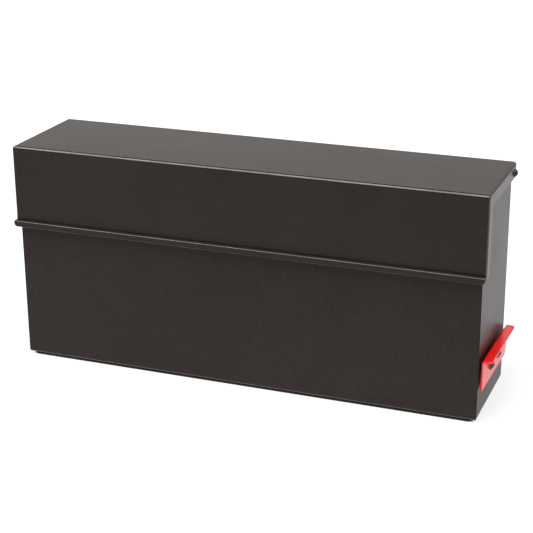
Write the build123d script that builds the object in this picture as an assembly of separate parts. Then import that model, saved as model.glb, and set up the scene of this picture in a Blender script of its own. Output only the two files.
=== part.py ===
"""Long, narrow sheet-steel box with a hinged wrap-over cover and a red angle on one end.

Millimetres.  X runs along the box, Y from its front to its back, Z up.
The origin is the middle of the underside of the bottom plate.
"""
import os
from math import asin, cos, sin

from build123d import *

# body
LENGTH = 400.0
DEPTH = 90.0
SHEET = 1.0
FOOT = 1.6                 # thickness of the bottom plate, which the walls stand on
FRONT_TOP = 136.0          # top of the low front wall
END_TOP = 187.9            # top of the two end walls
BACK_TOP = 184.0
BEND = 3.0                 # outside radius of the turned-in bottom edge
HEM = 8.0                  # reach of the turned-in bottom edge

# cover
COVER_HALF = 203.2
COVER_FRONT = -47.4
COVER_BACK = 49.2
COVER_TOP = 189.4
CHEEK = 11.0               # depth of the flanges folded round the ends
LIP_FACE = -51.6           # front face of the finger lip
LIP_FOOT = 119.7
LIP_LEDGE = 125.0          # top of the ledge where the sheet turns out to the lip
LIP_CORNER = 3.5
TOP_FOLD = 2.6             # outside radius where the top turns down
SIDE_FOLD = 1.7            # outside radius of the upright folds at the front corners

# hinge, one rivet at each end
PIVOT_Y = 40.3
PIVOT_Z = 182.6
RIVET_D = 3.2
RIVET_HEAD_D = 6.5
RIVET_HEAD_H = 2.4
RIVET_GAP = 0.3            # end play under the rivet head
SPACER_D = 8.0
SPACER_T = 1.8
BACKING_D = 7.0            # washer the rivet is closed on, inside the end wall

# red angle and its two screws
ANGLE_T = 1.5
ANGLE_GAP = 1.4            # washers hold the angle this far off the end wall
ANGLE_FRONT = -42.0
ANGLE_BACK = 46.5
ANGLE_FOOT = 26.0
ANGLE_TOP = 51.0
ANGLE_REACH = 8.2
ANGLE_TILT = -2.0          # degrees; its front end sits slightly high
SCREW_YS = (-13.6, 10.9)
SCREW_Z = 39.0
SCREW_D = 4.0
SCREW_HEAD_D = 10.0
SCREW_HEAD_H = 3.0
WASHER_D = 9.0
NUT_AF = 7.0
NUT_T = 3.2

HALF = LENGTH / 2
FACE = DEPTH / 2
MID = Align.CENTER
LOW = Align.MIN


def block(x0, x1, y0, y1, z0, z1):
    """Plain box between two corners."""
    return Pos(x0, y0, z0) * Box(x1 - x0, y1 - y0, z1 - z0, align=(LOW, LOW, LOW))


def rod(x0, x1, y, z, diameter):
    """Round bar along X."""
    bar = Cylinder(diameter / 2, x1 - x0, align=(MID, MID, LOW))
    return Pos(x0, y, z) * Rot(0, 90, 0) * bar


def ring(x0, x1, y, z, outer, bore):
    """Flat washer whose axis runs along X."""
    return rod(x0, x1, y, z, outer) - rod(x0 - 1, x1 + 1, y, z, bore)


def dome(x0, y, z, diameter, height):
    """Shallow domed head with its flat side at x0, swelling towards +X."""
    radius = (diameter * diameter / 4 + height * height) / (2 * height)
    half_angle = asin(diameter / 2 / radius) / 2
    middle = (height - radius + radius * cos(half_angle), radius * sin(half_angle))
    flat = Line((0, 0), (0, diameter / 2))
    crown = ThreePointArc((0, diameter / 2), middle, (height, 0))
    axis_line = Line((height, 0), (0, 0))
    profile = make_face(Curve() + [flat, crown, axis_line])
    return Pos(x0, y, z) * revolve(profile, Axis.X)


def shell_solid(half, front, back, foot, top, bend):
    """Box whose long lower front edge and lower end edges are rounded."""
    solid = block(-half, half, front, back, foot, top)
    low = solid.edges().filter_by_position(Axis.Z, foot - 0.01, foot + 0.01)
    rear = low.filter_by_position(Axis.Y, back - 0.01, back + 0.01)
    turned = [edge for edge in low if edge not in rear]
    return fillet(turned, bend)


def end_outline():
    """Everything the tops of the end walls may fill, seen from the end."""
    tall = block(-HALF - 1, HALF + 1, -FACE, FACE, 0, END_TOP)
    corner = tall.edges().filter_by(Axis.X).sort_by(Axis.Z)[-2:].sort_by(Axis.Y)[-1]
    return fillet(corner, 5.5)


def wall_shell():
    """Front and end walls together, before they are parted at the front corners."""
    outer = shell_solid(HALF, -FACE, FACE, FOOT, END_TOP, BEND)
    inner = shell_solid(HALF - SHEET, -FACE + SHEET, FACE + 1, FOOT + SHEET, END_TOP + 1, BEND - SHEET)
    wrap = outer - inner
    floor_hole = block(-HALF + HEM, HALF - HEM, -FACE + HEM, FACE + 1, 0, FOOT + SHEET + 1)
    wrap -= floor_hole
    wrap -= block(-HALF + SHEET, HALF - SHEET, -FACE - 1, -FACE + SHEET + 1, FRONT_TOP, END_TOP + 2)
    hem = block(-HALF + SHEET, HALF - SHEET, -FACE, -FACE + 2 * SHEET, FRONT_TOP - 8, FRONT_TOP)
    rounded = hem.edges().filter_by(Axis.X).sort_by(Axis.Z)[-2:]
    wrap += fillet(rounded, 0.9)
    wrap &= end_outline()
    for side in (-1, 1):
        wrap -= rod(side * HALF - 3, side * HALF + 3, PIVOT_Y, PIVOT_Z, RIVET_D + 0.1)
    for y in SCREW_YS:
        wrap -= rod(HALF - 3, HALF + 3, y, SCREW_Z, SCREW_D + 0.4)
    return wrap


def end_wall_zone(side):
    """The room that one end wall fills: the wall itself and its turned-in lower edge."""
    x0, x1 = sorted((side * (HALF - SHEET), side * (HALF + 1)))
    wall = block(x0, x1, -FACE - 1, FACE + 1, 0, END_TOP + 1)
    x0, x1 = sorted((side * (HALF - HEM - 1), side * (HALF + 1)))
    return wall + block(x0, x1, -FACE + HEM, FACE + 1, 0, FOOT + BEND + 2)


def back_panel():
    """Flat sheet between the end walls, welded to them down both upright edges."""
    half = HALF - SHEET
    panel = block(-half, half, FACE - SHEET, FACE, FOOT + BEND + 0.4, BACK_TOP)
    tongue = HALF - HEM - 0.3
    return panel + block(-tongue, tongue, FACE - SHEET, FACE, FOOT, FOOT + BEND + 1)


def bottom_plate():
    plate = block(-HALF + 2.7, HALF - 2.7, -FACE + 1.2, FACE - 1.2, 0, FOOT)
    plate = fillet(plate.edges().filter_by(Axis.Z), 5.0)
    return fillet(plate.edges().filter_by_position(Axis.Z, -0.01, 0.01), 0.5)


def lip_strip():
    """The cover's lower front edge: turned out to a ledge, down, and back on itself as a hem."""
    inside = COVER_FRONT + SHEET
    back = LIP_FACE + 2 * SHEET
    points = [
        (inside, LIP_LEDGE),
        (LIP_FACE, LIP_LEDGE),
        (LIP_FACE, LIP_FOOT),
        (back, LIP_FOOT),
        (back, LIP_LEDGE - 2),
        (LIP_FACE + SHEET, LIP_LEDGE - 2),
        (LIP_FACE + SHEET, LIP_LEDGE - SHEET),
        (inside, LIP_LEDGE - SHEET),
    ]
    section = Plane.YZ * make_face(Polyline(*points, close=True))
    strip = extrude(section, COVER_HALF, both=True)
    for y, z in ((LIP_FACE, LIP_LEDGE), (LIP_FACE, LIP_FOOT), (back, LIP_FOOT)):
        strip = fillet(long_edge(strip, y, z), 0.9)
    window = block(-COVER_HALF, COVER_HALF, LIP_FACE - 1, inside + 1, LIP_FOOT, LIP_LEDGE + 6)
    low = window.edges().filter_by(Axis.Y).sort_by(Axis.Z)[:2]
    return strip & fillet(low, LIP_CORNER)


def long_edge(solid, y, z):
    """The edges along X that pass through this point of the cross-section."""
    return [edge for edge in solid.edges().filter_by(Axis.X)
            if abs(edge.center().Y - y) < 0.01 and abs(edge.center().Z - z) < 0.01]


def folded_block(half, front, back, foot, top, inset):
    """Block with the cover's fold radii on its top and upright edges, less the inset."""
    solid = block(-half, half, front, back, foot, top)
    rim = solid.faces().sort_by(Axis.Z)[-1].edges().sort_by(Axis.Y)
    solid = fillet(rim[:-1], TOP_FOLD - inset)
    upright = solid.edges().filter_by(Axis.Z).sort_by(Axis.Y)[:2]
    return fillet(upright, SIDE_FOLD - inset)


def lid_shell():
    """The whole cover before its end flanges are parted from the sheet."""
    outer = folded_block(COVER_HALF, COVER_FRONT, COVER_BACK, LIP_LEDGE - SHEET, COVER_TOP, 0)
    plan = block(-COVER_HALF, COVER_HALF, COVER_FRONT, COVER_BACK, LIP_FOOT, COVER_TOP)
    outer &= fillet(plan.edges().filter_by(Axis.Z).sort_by(Axis.Y)[-2:], 4.0)
    inner = folded_block(COVER_HALF - SHEET, COVER_FRONT + SHEET, COVER_BACK + 5, LIP_FOOT, COVER_TOP - SHEET, SHEET)
    cover = outer - inner
    window = block(-COVER_HALF - 5, COVER_HALF + 5, COVER_FRONT + CHEEK, COVER_BACK + 5,
                   LIP_FOOT - 5, COVER_TOP - CHEEK)
    bend = window.edges().filter_by(Axis.X).sort_by(Axis.Z)[-2:].sort_by(Axis.Y)[0]
    cover -= fillet(bend, 3.0)
    cover += lip_strip()
    for side in (-1, 1):
        x0, x1 = sorted((side * (COVER_HALF - SHEET), side * COVER_HALF))
        tail = block(x0, x1, COVER_FRONT + SHEET, COVER_FRONT + CHEEK, LIP_LEDGE - 3, LIP_LEDGE + 4)
        corner = tail.edges().filter_by(Axis.X).sort_by(Axis.Z)[0:2].sort_by(Axis.Y)[-1]
        cover += fillet(corner, 3.0)
        cover -= rod(side * COVER_HALF - 3, side * COVER_HALF + 3, PIVOT_Y, PIVOT_Z, RIVET_D + 0.16)
    return cover


def lid_end_zone(side):
    """The room that one end flange of the cover fills, with the edge bend that joins it."""
    x0, x1 = sorted((side * (COVER_HALF - TOP_FOLD), side * (COVER_HALF + 1)))
    flange = block(x0, x1, COVER_FRONT, COVER_BACK + 1, LIP_LEDGE + 1, COVER_TOP + 1)
    return flange + block(x0, x1, COVER_FRONT + SHEET, COVER_BACK + 1, LIP_LEDGE - 5, LIP_LEDGE + 1)


def lid_top_zone():
    """The room that the cover's top fills, down to the end of its folds."""
    return block(-COVER_HALF - 1, COVER_HALF + 1, COVER_FRONT - 1, COVER_BACK + 1,
                 COVER_TOP - TOP_FOLD, COVER_TOP + 1)


def hinge_rivet():
    """Right-hand rivet: domed head, plain shank and the clenched tail inside the box."""
    head_at = COVER_HALF + RIVET_GAP
    rivet = dome(head_at, PIVOT_Y, PIVOT_Z, RIVET_HEAD_D, RIVET_HEAD_H)
    rivet += rod(HALF - 3.2, head_at, PIVOT_Y, PIVOT_Z, RIVET_D)
    return rivet + rod(HALF - 3.2, HALF - 2.0, PIVOT_Y, PIVOT_Z, 5.6)


def mirrored_pair(shape):
    """The same piece at the right end and, mirrored, at the left end."""
    return Compound(children=[shape, mirror(shape, about=Plane.YZ)])


def hinge_spacer():
    return ring(HALF, HALF + SPACER_T, PIVOT_Y, PIVOT_Z, SPACER_D, RIVET_D + 0.1)


def hinge_backing_washer():
    return ring(HALF - 2.0, HALF - SHEET, PIVOT_Y, PIVOT_Z, BACKING_D, RIVET_D + 0.1)


def angle_rim(angle, near):
    """The sheared edges round the angle's top, underside and outer faces."""
    face_x = near + ANGLE_T
    under = ANGLE_TOP - ANGLE_T
    rim = []
    for face in angle.faces():
        middle, normal = face.center(), face.normal_at()
        flat = abs(normal.Z) > 0.99 and middle.Z > under - 0.01
        upright = abs(normal.X) > 0.99 and abs(middle.X - face_x) < 0.01
        if flat or upright:
            rim += [edge for edge in face.edges() if edge not in rim]
    corner = [edge for edge in rim if abs(edge.center().X - face_x) < 0.01 and abs(edge.center().Z - under) < 0.01]
    bend = [edge for edge in rim if abs(edge.center().X - near - 1.6) < 0.01 and edge.center().Z > ANGLE_TOP - 0.01]
    return [edge for edge in rim if edge not in corner + bend]


def side_angle():
    near = HALF + ANGLE_GAP
    web = block(near, near + ANGLE_T, ANGLE_FRONT, ANGLE_BACK, ANGLE_FOOT, ANGLE_TOP)
    web = fillet(long_edge(web, ANGLE_FRONT, ANGLE_FOOT), 1.5)
    web = fillet(long_edge(web, ANGLE_BACK, ANGLE_FOOT), 8.0)
    shelf = block(near, near + ANGLE_REACH, ANGLE_FRONT, ANGLE_BACK, ANGLE_TOP - ANGLE_T, ANGLE_TOP)
    outer = shelf.edges().filter_by(Axis.Z).sort_by(Axis.X)[-2:]
    shelf = fillet(outer, 3.5)
    angle = web + shelf
    bend = [edge for edge in angle.edges().filter_by(Axis.Y)
            if abs(edge.center().X - near) < 0.01 and abs(edge.center().Z - ANGLE_TOP) < 0.01]
    angle = fillet(bend, 1.6)
    angle = fillet(angle_rim(angle, near), 0.4)
    pivot = Pos(0, sum(SCREW_YS) / 2, SCREW_Z)
    angle = pivot * Rot(ANGLE_TILT, 0, 0) * pivot.inverse() * angle
    for y in SCREW_YS:
        angle -= rod(near - 1, near + ANGLE_T + 1, y, SCREW_Z, SCREW_D + 0.4)
    return angle


def angle_screw(y):
    """Button-headed screw with a shallow cross recess."""
    seat = HALF + ANGLE_GAP + ANGLE_T
    screw = dome(seat, y, SCREW_Z, SCREW_HEAD_D, SCREW_HEAD_H)
    top = seat + SCREW_HEAD_H
    screw -= block(top - 1.2, top + 1, y - 2.2, y + 2.2, SCREW_Z - 0.45, SCREW_Z + 0.45)
    screw -= block(top - 1.2, top + 1, y - 0.45, y + 0.45, SCREW_Z - 2.2, SCREW_Z + 2.2)
    return screw + rod(HALF - 6.6, seat, y, SCREW_Z, SCREW_D)


def angle_spacer(y):
    return ring(HALF, HALF + ANGLE_GAP, y, SCREW_Z, WASHER_D, SCREW_D + 0.4)


def inner_washer(y):
    return ring(HALF - 2.0, HALF - SHEET, y, SCREW_Z, WASHER_D, SCREW_D + 0.4)


def angle_nut(y):
    hexagon = RegularPolygon(NUT_AF / 2, 6, major_radius=False)
    nut = Pos(HALF - 2.0 - NUT_T, y, SCREW_Z) * Rot(0, 90, 0) * extrude(hexagon, NUT_T)
    return nut - rod(HALF - 10, HALF, y, SCREW_Z, SCREW_D + 0.1)


def both(make):
    """The same small piece at each of the two screw places."""
    return Compound(children=[make(y) for y in SCREW_YS])


WALLS = wall_shell()
COVER = lid_shell()

NODES = {
    "front_wall": WALLS - end_wall_zone(-1) - end_wall_zone(1),
    "left_end_wall": WALLS & end_wall_zone(-1),
    "right_end_wall": WALLS & end_wall_zone(1),
    "back_panel": back_panel(),
    "bottom_plate": bottom_plate(),
    "lid_top": (COVER - lid_end_zone(-1) - lid_end_zone(1)) & lid_top_zone(),
    "lid_front": COVER - lid_end_zone(-1) - lid_end_zone(1) - lid_top_zone(),
    "lid_left_flange": COVER & lid_end_zone(-1),
    "lid_right_flange": COVER & lid_end_zone(1),
    "hinge_rivets": mirrored_pair(hinge_rivet()),
    "hinge_spacers": mirrored_pair(hinge_spacer()),
    "hinge_backing_washers": mirrored_pair(hinge_backing_washer()),
    "side_angle": side_angle(),
    "angle_screws": both(angle_screw),
    "angle_spacers": both(angle_spacer),
    "angle_inner_washers": both(inner_washer),
    "angle_nuts": both(angle_nut),
}

os.makedirs("parts", exist_ok=True)
for node, shape in NODES.items():
    export_step(shape, f"parts/{node}.step")
    box = shape.bounding_box()
    print(f"{node:24s} {len(shape.solids())} solid(s)  {box.min}  {box.max}")
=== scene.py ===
import math

import bpy
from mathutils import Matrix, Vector

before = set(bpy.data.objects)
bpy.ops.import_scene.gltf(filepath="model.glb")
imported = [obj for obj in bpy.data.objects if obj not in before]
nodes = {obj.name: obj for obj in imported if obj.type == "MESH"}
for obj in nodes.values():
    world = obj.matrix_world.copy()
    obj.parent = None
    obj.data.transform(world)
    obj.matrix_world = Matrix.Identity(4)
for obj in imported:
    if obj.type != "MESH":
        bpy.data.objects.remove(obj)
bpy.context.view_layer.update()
bpy.ops.object.select_all(action="DESELECT")


# ---------------------------------------------------------------------------
# Front wall and the two end walls: 1 mm sheet steel, lower edges turned in,
# welded at the corners. Baked on them is a warm black enamel, satin, with the
# fine pebble of a sprayed film, a few caught specks and a thin haze of dust;
# its folded edges are burnished and carry a painted highlight in paler colour.
# ---------------------------------------------------------------------------

ENAMEL_BLACK = (0.0135, 0.0090, 0.0078, 1)
# The dust colour below is also the paler colour of the painted highlight on folded edges.
ENAMEL_DUST_AND_HIGHLIGHT = (0.085, 0.070, 0.060, 1)
ENAMEL_PEBBLE = 700.0          # pebbles per metre
ENAMEL_PEBBLE_DEPTH = 0.000060  # metres
ENAMEL_SPECULAR = 0.175
BURNISH_ROUGHNESS = 0.08       # of the polished skin on rubbed folds


def shader_group(name, inputs, outputs):
    """An empty node group with named sockets; returns the tree and its two ends."""
    tree = bpy.data.node_groups.new(name, "ShaderNodeTree")
    for label, kind, value in inputs:
        socket = tree.interface.new_socket(label, in_out="INPUT", socket_type=kind)
        if value is not None:
            socket.default_value = value
    for label, kind in outputs:
        tree.interface.new_socket(label, in_out="OUTPUT", socket_type=kind)
    return tree, tree.nodes.new("NodeGroupInput"), tree.nodes.new("NodeGroupOutput")


def noise(tree, vector, scale, detail=2.0, roughness=0.5):
    node = tree.nodes.new("ShaderNodeTexNoise")
    node.inputs["Detail"].default_value = detail
    node.inputs["Roughness"].default_value = roughness
    if isinstance(scale, (int, float)):
        node.inputs["Scale"].default_value = scale
    else:
        tree.links.new(scale, node.inputs["Scale"])
    tree.links.new(vector, node.inputs["Vector"])
    return node.outputs["Fac"]


def ranged(tree, value, low, high, to_low=0.0, to_high=1.0):
    node = tree.nodes.new("ShaderNodeMapRange")
    node.inputs["From Min"].default_value = low
    node.inputs["From Max"].default_value = high
    node.inputs["To Min"].default_value = to_low
    node.inputs["To Max"].default_value = to_high
    tree.links.new(value, node.inputs["Value"])
    return node.outputs["Result"]


def combined(tree, operation, first, second):
    node = tree.nodes.new("ShaderNodeMath")
    node.operation = operation
    for socket, value in zip(node.inputs, (first, second)):
        if isinstance(value, (int, float)):
            socket.default_value = value
        else:
            tree.links.new(value, socket)
    return node.outputs["Value"]


def stretched(tree, vector, x, y, z):
    """The same place with each direction scaled, to draw a pattern out along one of them."""
    node = tree.nodes.new("ShaderNodeMapping")
    node.inputs["Scale"].default_value = (x, y, z)
    tree.links.new(vector, node.inputs["Vector"])
    return node.outputs["Vector"]


def sprayed_film():
    """Pebble, cloud, specks and rub marks of a sprayed film, in metres of object space."""
    tree, inside, outside = shader_group(
        "sprayed_film",
        [("Vector", "NodeSocketVector", None), ("Pebble Scale", "NodeSocketFloat", 900.0)],
        [("Pebble", "NodeSocketFloat"), ("Cloud", "NodeSocketFloat"),
         ("Specks", "NodeSocketFloat"), ("Rubs", "NodeSocketFloat")],
    )
    vector = inside.outputs["Vector"]
    pebble = noise(tree, vector, inside.outputs["Pebble Scale"], 3.0, 0.6)
    cloud = noise(tree, vector, 14.0, 4.0, 0.6)
    grit = tree.nodes.new("ShaderNodeTexVoronoi")
    grit.inputs["Scale"].default_value = 240.0
    tree.links.new(vector, grit.inputs["Vector"])
    lone = ranged(tree, noise(tree, vector, 70.0, 0.0), 0.66, 0.72)
    specks = combined(tree, "MULTIPLY", ranged(tree, grit.outputs["Distance"], 0.12, 0.05), lone)
    along = noise(tree, stretched(tree, vector, 9.0, 60.0, 420.0), 1.0, 3.0, 0.6)
    patch = ranged(tree, noise(tree, vector, 22.0, 1.0), 0.56, 0.70)
    rubs = combined(tree, "MULTIPLY", ranged(tree, along, 0.66, 0.78), patch)
    tree.links.new(pebble, outside.inputs["Pebble"])
    tree.links.new(cloud, outside.inputs["Cloud"])
    tree.links.new(specks, outside.inputs["Specks"])
    tree.links.new(rubs, outside.inputs["Rubs"])
    return tree


FILM = sprayed_film()


def fold_burnish_and_highlight():
    """Where hands have burnished the paint, and where a painted highlight lies: on folded edges,
    in uneven lengths.
    """
    tree, inside, outside = shader_group(
        "fold_burnish_and_highlight",
        [("Normal", "NodeSocketVector", None), ("Vector", "NodeSocketVector", None)],
        [("Burnish And Highlight", "NodeSocketFloat")],
    )
    facing = tree.nodes.new("ShaderNodeVectorMath")
    facing.operation = "ABSOLUTE"
    tree.links.new(inside.outputs["Normal"], facing.inputs[0])
    parts = tree.nodes.new("ShaderNodeSeparateXYZ")
    tree.links.new(facing.outputs["Vector"], parts.inputs["Vector"])
    most = combined(tree, "MAXIMUM", parts.outputs["X"], parts.outputs["Y"])
    most = combined(tree, "MAXIMUM", most, parts.outputs["Z"])
    fold = ranged(tree, most, 0.97, 0.88)
    patchy = noise(tree, inside.outputs["Vector"], 45.0, 3.0, 0.6)
    uneven = ranged(tree, patchy, 0.3, 0.6, 0.55, 1.0)
    tree.links.new(combined(tree, "MULTIPLY", fold, uneven), outside.inputs["Burnish And Highlight"])
    return tree


FOLDS = fold_burnish_and_highlight()


def painted(name, color, dusty_and_highlit, dust, roughness, pebble, depth, specular, burnish_and_highlight=0.0):
    """Paint over steel. The colour drifts from the first colour towards the second by at most
    dust, the film is pebbled by depth metres, and where the last argument is above zero the
    folded edges are burnished: a polished coat, and a painted highlight that pushes their colour
    towards the second colour."""
    mat = bpy.data.materials.new(name)
    mat.use_nodes = True
    tree = mat.node_tree
    shader = tree.nodes["Principled BSDF"]
    shader.inputs["Specular IOR Level"].default_value = specular
    shader.inputs["IOR"].default_value = 1.5
    shader.inputs["Coat Weight"].default_value = 0.0
    shader.inputs["Coat Roughness"].default_value = BURNISH_ROUGHNESS
    place = tree.nodes.new("ShaderNodeTexCoord")
    film = tree.nodes.new("ShaderNodeGroup")
    film.node_tree = FILM
    film.inputs["Pebble Scale"].default_value = pebble
    tree.links.new(place.outputs["Object"], film.inputs["Vector"])

    tint = tree.nodes.new("ShaderNodeMix")
    tint.data_type = "RGBA"
    tint.inputs["A"].default_value = color
    tint.inputs["B"].default_value = dusty_and_highlit
    haze = ranged(tree, film.outputs["Cloud"], 0.35, 0.75, 0.0, dust)
    dust_and_fold_highlight = combined(tree, "ADD", film.outputs["Specks"], film.outputs["Rubs"])
    dust_and_fold_highlight = combined(tree, "MULTIPLY", dust_and_fold_highlight, 0.5)
    grain = ranged(tree, film.outputs["Pebble"], 0.35, 0.65, 0.0, 0.10)
    dust_and_fold_highlight = combined(tree, "ADD", dust_and_fold_highlight, haze)
    dust_and_fold_highlight = combined(tree, "ADD", dust_and_fold_highlight, grain)
    tree.links.new(tint.outputs["Result"], shader.inputs["Base Color"])

    dullness = ranged(tree, film.outputs["Cloud"], 0.3, 0.7, roughness - 0.02, roughness + 0.03)
    scuffed = combined(tree, "MULTIPLY", film.outputs["Rubs"], 0.08)
    dullness = combined(tree, "ADD", dullness, scuffed)
    if burnish_and_highlight > 0:
        folds = tree.nodes.new("ShaderNodeGroup")
        folds.node_tree = FOLDS
        tree.links.new(place.outputs["Normal"], folds.inputs["Normal"])
        tree.links.new(place.outputs["Object"], folds.inputs["Vector"])
        burnished_and_highlit = combined(tree, "MULTIPLY", folds.outputs["Burnish And Highlight"], burnish_and_highlight)
        # Painted highlight: the burnished folds are pushed towards the paler second colour.
        painted_fold_highlight = combined(tree, "MULTIPLY", burnished_and_highlit, 0.05)
        dust_and_fold_highlight = combined(tree, "ADD", dust_and_fold_highlight, painted_fold_highlight)
        polished = combined(tree, "MULTIPLY", burnished_and_highlit, 0.10)
        dullness = combined(tree, "SUBTRACT", dullness, polished)
        tree.links.new(burnished_and_highlit, shader.inputs["Coat Weight"])
    tree.links.new(dust_and_fold_highlight, tint.inputs["Factor"])
    tree.links.new(dullness, shader.inputs["Roughness"])

    bump = tree.nodes.new("ShaderNodeBump")
    bump.inputs["Distance"].default_value = depth
    height = combined(tree, "ADD", film.outputs["Pebble"], film.outputs["Specks"])
    tree.links.new(height, bump.inputs["Height"])
    tree.links.new(bump.outputs["Normal"], shader.inputs["Normal"])
    return mat


def dress(mat, *names):
    """Give the named sheets and fixings this finish all over."""
    for name in names:
        mesh = nodes[name].data
        mesh.materials.clear()
        mesh.materials.append(mat)


# The end walls are a shade duller than the rest.
black_enamel = painted("black_enamel", ENAMEL_BLACK, ENAMEL_DUST_AND_HIGHLIGHT, dust=0.06, roughness=0.30,
                       pebble=ENAMEL_PEBBLE, depth=ENAMEL_PEBBLE_DEPTH,
                       specular=ENAMEL_SPECULAR, burnish_and_highlight=1.0)
end_enamel = painted("end_enamel", ENAMEL_BLACK, ENAMEL_DUST_AND_HIGHLIGHT, dust=0.06, roughness=0.33,
                     pebble=ENAMEL_PEBBLE, depth=ENAMEL_PEBBLE_DEPTH,
                     specular=0.110, burnish_and_highlight=1.0)
dress(black_enamel, "front_wall")
dress(end_enamel, "left_end_wall", "right_end_wall")


# ---------------------------------------------------------------------------
# Back panel and bottom plate: a flat sheet welded between the end walls, and
# a flat plate under them all. Same enamel; the plate that stands on the table
# is rubbed a little duller.
# ---------------------------------------------------------------------------

standing_enamel = painted("standing_enamel", ENAMEL_BLACK, ENAMEL_DUST_AND_HIGHLIGHT, dust=0.14,
                          roughness=0.36, pebble=ENAMEL_PEBBLE, depth=ENAMEL_PEBBLE_DEPTH,
                          specular=ENAMEL_SPECULAR)
dress(black_enamel, "back_panel")
dress(standing_enamel, "bottom_plate")


# ---------------------------------------------------------------------------
# Cover: a top sheet and an upper front sheet welded at the fold, the front
# with a hemmed finger lip, and an L-shaped flange folded down round each end.
# Same enamel.
# ---------------------------------------------------------------------------

dress(black_enamel, "lid_top", "lid_front", "lid_left_flange", "lid_right_flange")


# ---------------------------------------------------------------------------
# Hinge: at each end a steel rivet, painted with the box, holds the cover's
# flange off the wall with a zinc-plated spacer and closes on a zinc washer.
# ---------------------------------------------------------------------------

ZINC_PALE = (0.60, 0.60, 0.57, 1)
ZINC_DULL = (0.34, 0.34, 0.32, 1)
TURNING_DEPTH = 0.000008       # metres


def zinc_plating():
    """Bright zinc: soft crystalline cloud in the colour, turning marks round the X axis."""
    mat = bpy.data.materials.new("zinc_plating")
    mat.use_nodes = True
    tree = mat.node_tree
    shader = tree.nodes["Principled BSDF"]
    shader.inputs["Metallic"].default_value = 1.0
    place = tree.nodes.new("ShaderNodeTexCoord")
    vector = place.outputs["Object"]
    crystal = tree.nodes.new("ShaderNodeTexVoronoi")
    crystal.inputs["Scale"].default_value = 1500.0
    tree.links.new(vector, crystal.inputs["Vector"])
    spangle = combined(tree, "MULTIPLY", crystal.outputs["Distance"], 0.6)
    cloud = noise(tree, vector, 300.0, 3.0, 0.6)
    tint = tree.nodes.new("ShaderNodeMix")
    tint.data_type = "RGBA"
    tint.inputs["A"].default_value = ZINC_PALE
    tint.inputs["B"].default_value = ZINC_DULL
    tree.links.new(combined(tree, "MULTIPLY", spangle, cloud), tint.inputs["Factor"])
    tree.links.new(tint.outputs["Result"], shader.inputs["Base Color"])
    tree.links.new(ranged(tree, cloud, 0.3, 0.7, 0.28, 0.42), shader.inputs["Roughness"])
    bump = tree.nodes.new("ShaderNodeBump")
    bump.inputs["Distance"].default_value = TURNING_DEPTH
    turned = noise(tree, stretched(tree, vector, 6000.0, 900.0, 900.0), 1.0, 2.0)
    tree.links.new(turned, bump.inputs["Height"])
    tree.links.new(bump.outputs["Normal"], shader.inputs["Normal"])
    return mat


RIVET_BLACK = (0.010, 0.009, 0.009, 1)
RIVET_DUST = (0.05, 0.048, 0.045, 1)
rivet_black = painted("rivet_black", RIVET_BLACK, RIVET_DUST, dust=0.15, roughness=0.24,
                      pebble=1600.0, depth=0.000010, specular=0.4)
zinc = zinc_plating()
dress(rivet_black, "hinge_rivets")
dress(zinc, "hinge_spacers", "hinge_backing_washers")


# ---------------------------------------------------------------------------
# Angle on the right end wall: 1.5 mm steel folded to an L and sprayed gloss
# red, with a slight orange peel and its folded and cut edges worn shiny and
# given a painted highlight in paler colour.
# ---------------------------------------------------------------------------

ANGLE_RED = (0.78, 0.0008, 0.0015, 1)
# The dust colour below is also the paler colour of the painted highlight on folded edges.
ANGLE_DUST_AND_HIGHLIGHT = (0.82, 0.040, 0.035, 1)
red_gloss = painted("red_gloss", ANGLE_RED, ANGLE_DUST_AND_HIGHLIGHT, dust=0.02, roughness=0.24,
                    pebble=450.0, depth=0.000010, specular=0.45, burnish_and_highlight=0.6)
dress(red_gloss, "side_angle")


# ---------------------------------------------------------------------------
# Its fixings: two low domed screws of black oxide steel with spacers behind
# the angle, and a zinc-plated washer and hexagon nut on each inside the box.
# ---------------------------------------------------------------------------

OXIDE_BLACK = (0.022, 0.022, 0.021, 1)
OXIDE_DUST = (0.07, 0.066, 0.060, 1)
black_oxide = painted("black_oxide", OXIDE_BLACK, OXIDE_DUST, dust=0.20, roughness=0.36,
                      pebble=1800.0, depth=0.000012, specular=0.4)
dress(black_oxide, "angle_screws", "angle_spacers")
dress(zinc, "angle_inner_washers", "angle_nuts")


# ---------------------------------------------------------------------------
# Studio: a pale paper floor that glows, brighter towards the back, a pale
# wall low down behind the object to its left with the rest of the room dim,
# one wide softbox overhead and a smaller one over the right end.
# ---------------------------------------------------------------------------

FLOOR_WIDTH = 14.0
FLOOR_GLOW_FRONT, FLOOR_GLOW_BACK = 0.25, 1.15
WALL_TOWARD = (-0.9, 0.44, 0.0)
WALL_BRIGHT, ROOM_DIM = 0.86, 0.16
STUDIO_WARM_WHITE = (1.0, 0.985, 0.965, 1)


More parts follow.
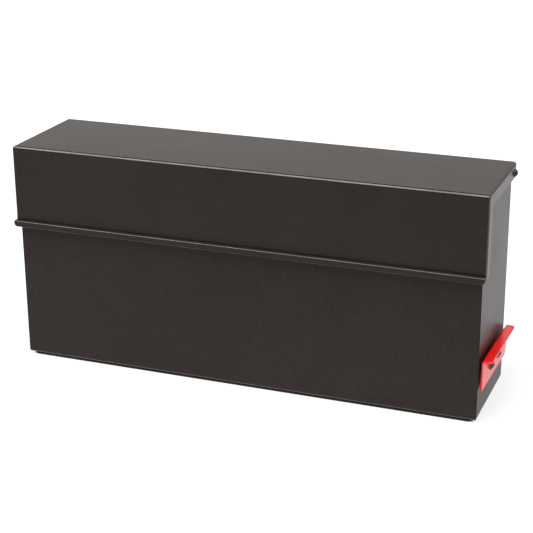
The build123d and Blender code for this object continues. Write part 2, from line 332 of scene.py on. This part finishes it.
def paper_floor():
    """Pale paper that glows, brighter towards the back; well away from the object it is seen as
    white.
    """
    paper = bpy.data.materials.new("floor_paper")
    paper.use_nodes = True
    tree = paper.node_tree
    shader = tree.nodes["Principled BSDF"]
    shader.inputs["Base Color"].default_value = (0.35, 0.35, 0.35, 1)
    shader.inputs["Roughness"].default_value = 0.95
    shader.inputs["Specular IOR Level"].default_value = 0.1
    shader.inputs["Emission Color"].default_value = (1.0, 1.0, 1.0, 1)
    place = tree.nodes.new("ShaderNodeTexCoord")
    parts = tree.nodes.new("ShaderNodeSeparateXYZ")
    tree.links.new(place.outputs["Object"], parts.inputs["Vector"])
    glow = ranged(tree, parts.outputs["Y"], -0.9, 1.3, FLOOR_GLOW_FRONT, FLOOR_GLOW_BACK)
    reach = tree.nodes.new("ShaderNodeVectorMath")
    reach.operation = "LENGTH"
    tree.links.new(place.outputs["Object"], reach.inputs[0])
    far_off = ranged(tree, reach.outputs["Value"], 0.45, 0.90)
    seen = tree.nodes.new("ShaderNodeLightPath").outputs["Is Camera Ray"]
    far_white = combined(tree, "MULTIPLY", far_off, seen)
    glow = combined(tree, "MAXIMUM", glow, far_white)
    tree.links.new(glow, shader.inputs["Emission Strength"])
    return paper


bpy.ops.mesh.primitive_plane_add(size=FLOOR_WIDTH, location=(0, 0, 0))
floor = bpy.context.object
floor.name = "floor"
floor.data.materials.append(paper_floor())


def surround():
    """A pale wall low down behind the object to its left; the rest of the room is dim,
    though it is seen as white."""
    world = bpy.data.worlds.new("studio")
    world.use_nodes = True
    tree = world.node_tree
    place = tree.nodes.new("ShaderNodeTexCoord")
    parts = tree.nodes.new("ShaderNodeSeparateXYZ")
    tree.links.new(place.outputs["Generated"], parts.inputs["Vector"])
    toward = tree.nodes.new("ShaderNodeVectorMath")
    toward.operation = "DOT_PRODUCT"
    toward.inputs[1].default_value = WALL_TOWARD
    tree.links.new(place.outputs["Generated"], toward.inputs[0])
    behind = ranged(tree, toward.outputs["Value"], 0.10, 0.50)
    low = ranged(tree, parts.outputs["Z"], 0.70, 0.40)
    wall = combined(tree, "MULTIPLY", behind, low)
    strength = ranged(tree, wall, 0.0, 1.0, ROOM_DIM, WALL_BRIGHT)
    seen = tree.nodes.new("ShaderNodeLightPath").outputs["Is Camera Ray"]
    seen_white = combined(tree, "MULTIPLY", seen, 1.1)
    strength = combined(tree, "MAXIMUM", strength, seen_white)
    tree.links.new(strength, tree.nodes["Background"].inputs["Strength"])
    tree.nodes["Background"].inputs["Color"].default_value = STUDIO_WARM_WHITE
    return world


bpy.context.scene.world = surround()


def softbox(name, place, target, width, height, power):
    """A rectangular area lamp at place, turned to face target; power in watts."""
    lamp = bpy.data.lights.new(name, "AREA")
    lamp.shape = "RECTANGLE"
    lamp.size = width
    lamp.size_y = height
    lamp.energy = power
    holder = bpy.data.objects.new(name, lamp)
    bpy.context.collection.objects.link(holder)
    holder.location = place
    aim = Vector(target) - Vector(place)
    holder.rotation_euler = aim.to_track_quat("-Z", "Y").to_euler()


softbox("softbox_overhead", (-0.45, -0.50, 1.20), (-0.45, 0, 0.15), 1.5, 1.0, 28.0)
softbox("softbox_right", (0.80, -0.15, 1.05), (0.25, 0, 0.05), 0.7, 0.7, 12.0)

CAMERA_LENS = 97.902           # millimetres, on a 36 mm sensor
CAMERA_PLACE = (0.41730, -1.06433, 0.51531)
CAMERA_TURN = (69.648, 0.330, 20.990)

camera_data = bpy.data.cameras.new("camera")
camera_data.lens = CAMERA_LENS
camera_data.sensor_width = 36.0
camera = bpy.data.objects.new("camera", camera_data)
camera.location = CAMERA_PLACE
camera.rotation_euler = [math.radians(degrees) for degrees in CAMERA_TURN]
bpy.context.collection.objects.link(camera)
bpy.context.scene.camera = camera
bpy.context.scene.view_settings.view_transform = "Standard"
